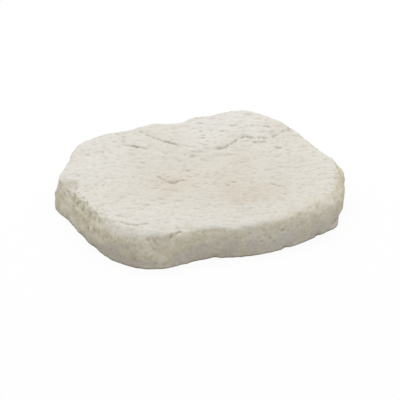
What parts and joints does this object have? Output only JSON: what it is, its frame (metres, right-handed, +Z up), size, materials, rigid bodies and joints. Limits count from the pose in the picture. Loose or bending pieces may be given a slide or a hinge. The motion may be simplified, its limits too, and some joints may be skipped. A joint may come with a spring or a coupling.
{
  "type": "garden stepping stone",
  "caption": "Irregular rounded garden stepping stone cast in pale concrete, with a riven layered top, worn shoulders and a flat base for bedding in a path or lawn.",
  "frame": {"origin": "middle of the bounding box on the flat base", "axes": "+X along the stone's length to the right of the pictured view, +Y to the back, where the raised layers stand, +Z up through its thickness"},
  "size_m": [0.4, 0.336, 0.0538],
  "materials": {
    "cast_concrete": "matt pale buff cast concrete, off-white and streaked on the tread, buff to grey and lightly pored on the sides"
  },
  "bodies": {
    "root": {"stepping_stone": "cast_concrete"}
  },
  "joints": []
}
